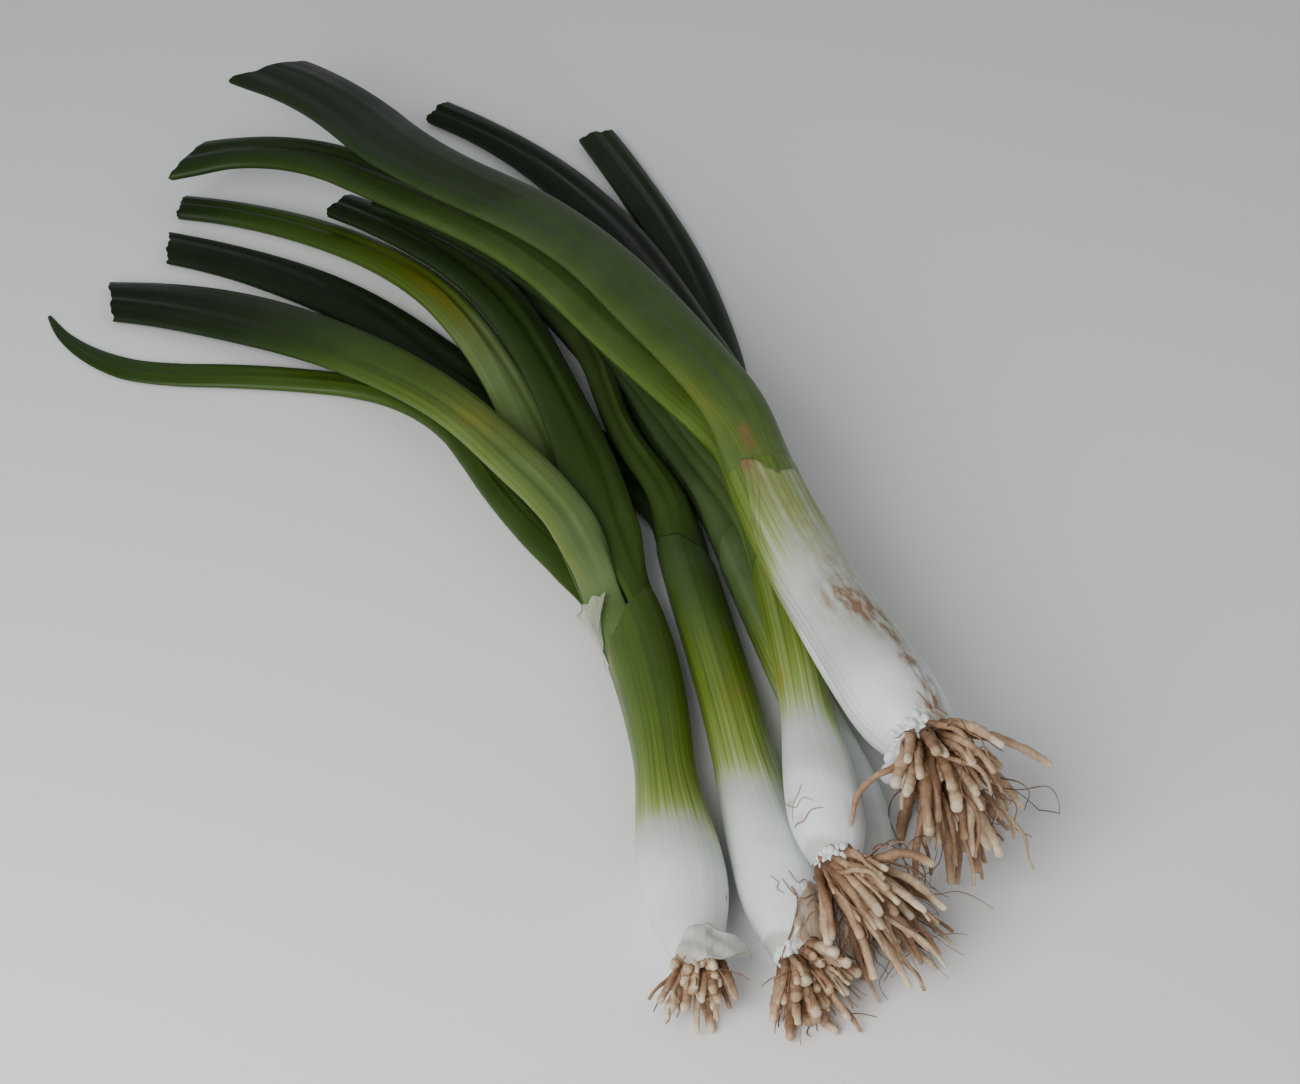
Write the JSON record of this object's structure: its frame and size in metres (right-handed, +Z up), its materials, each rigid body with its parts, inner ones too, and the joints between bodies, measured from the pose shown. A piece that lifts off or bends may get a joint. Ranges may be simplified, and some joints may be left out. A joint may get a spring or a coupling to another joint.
{
  "type": "spring onion bunch",
  "caption": "Loose bunch of spring onions lying flat, with white bulbous feet, cut root tufts and long green leaves bending to one side.",
  "frame": {"origin": "on the table, under the middle of the box around the bunch", "axes": "+X along the bunch from the leaf ends to the roots, +Z up from the table, +Y to the side away from the bend of the leaves"},
  "size_m": [0.441, 0.22, 0.0519],
  "materials": {
    "shaft": "waxy white skin that turns green towards the leaves",
    "leaf": "waxy green leaf with a grey bloom",
    "root": "wrinkled tan root",
    "dry_skin": "thin dry translucent skin"
  },
  "bodies": {
    "root": {"onion_3_shaft": "shaft", "onion_3_roots": "root", "onion_4_shaft": "shaft", "onion_4_roots": "root", "onion_5_shaft": "shaft", "onion_5_roots": "root", "onion_6_shaft": "shaft", "onion_6_roots": "root", "onion_2_shaft": "shaft", "onion_2_roots": "root", "onion_1_shaft": "shaft", "onion_1_roots": "root", "onion_1_leaf_lower": "leaf", "onion_1_leaf_upper": "leaf", "onion_2_leaf_lower": "leaf", "onion_2_leaf_upper": "leaf", "onion_3_leaf_lower": "leaf", "onion_3_leaf_upper": "leaf", "onion_4_leaf_lowest": "leaf", "onion_4_leaf_inner": "leaf", "onion_4_leaf_right": "leaf", "onion_4_leaf_left": "leaf", "onion_5_leaf_lower": "leaf", "onion_5_leaf_upper": "leaf", "onion_6_leaf_lower": "leaf", "onion_6_leaf_upper": "leaf", "onion_4_skin_flap": "dry_skin"}
  },
  "joints": []
}
